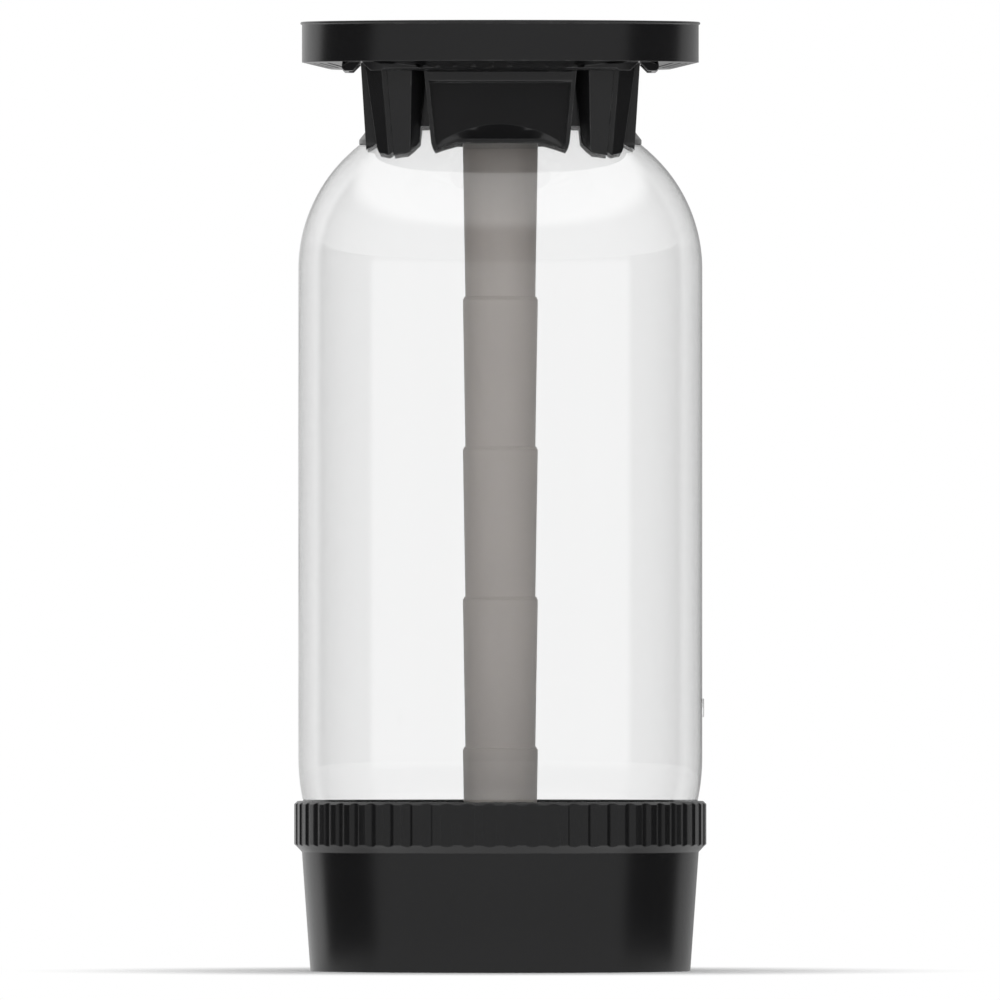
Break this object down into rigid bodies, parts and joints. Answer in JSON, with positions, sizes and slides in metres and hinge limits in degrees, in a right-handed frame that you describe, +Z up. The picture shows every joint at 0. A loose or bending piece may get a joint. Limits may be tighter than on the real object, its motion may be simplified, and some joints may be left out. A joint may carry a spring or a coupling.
{
  "type": "plastic keg",
  "caption": "One-way plastic keg: clear bottle in a black base cup, with a black moulded carrying ring, a two-way valve and a long spear tube.",
  "frame": {"origin": "on the floor, under the middle of the foot", "axes": "+Z up the axis of the keg, +X and +Y through the middles of two of the four hand pockets"},
  "size_m": [0.245, 0.245, 0.5644],
  "materials": {
    "clear_bottle": "clear blown polyester, glossy",
    "black_plastic": "black moulded plastic, semi-gloss",
    "valve_plastic": "warm grey moulded plastic, satin",
    "cap_plastic": "dark moulded plastic, satin",
    "spear_plastic": "natural extruded and moulded plastic, milky",
    "seal_rubber": "soft seal rubber, matt",
    "spring_steel": "drawn stainless wire"
  },
  "bodies": {
    "keg": {"bottle": "clear_bottle", "base_cup": "black_plastic", "handle": "black_plastic", "neck_gasket": "seal_rubber", "valve_housing": "valve_plastic", "guide_seal": "seal_rubber", "valve_cap": "cap_plastic", "sleeve_spring": "spring_steel", "spear_segment_1": "spear_plastic", "spear_segment_2": "spear_plastic", "spear_segment_3": "spear_plastic", "spear_segment_4": "spear_plastic", "spear_segment_5": "spear_plastic", "spear_foot": "spear_plastic"},
    "sleeve": {"gas_sleeve": "valve_plastic", "sleeve_gasket": "seal_rubber", "plug_spring": "spring_steel", "plug_spring_seat": "valve_plastic"},
    "plug": {"product_plug": "cap_plastic", "plug_seal": "seal_rubber"}
  },
  "joints": [
    {"name": "sleeve_slide", "type": "slide", "parent": "keg", "child": "sleeve", "axis": [0, 0, -1], "range_m": [0, 0.005], "stiffness_N_per_m": 1500, "springref_m": -0.02, "deforming": ["sleeve_spring"]},
    {"name": "plug_slide", "type": "slide", "parent": "sleeve", "child": "plug", "axis": [0, 0, -1], "range_m": [0, 0.005], "stiffness_N_per_m": 1000, "springref_m": -0.015, "deforming": ["plug_spring"]}
  ]
}
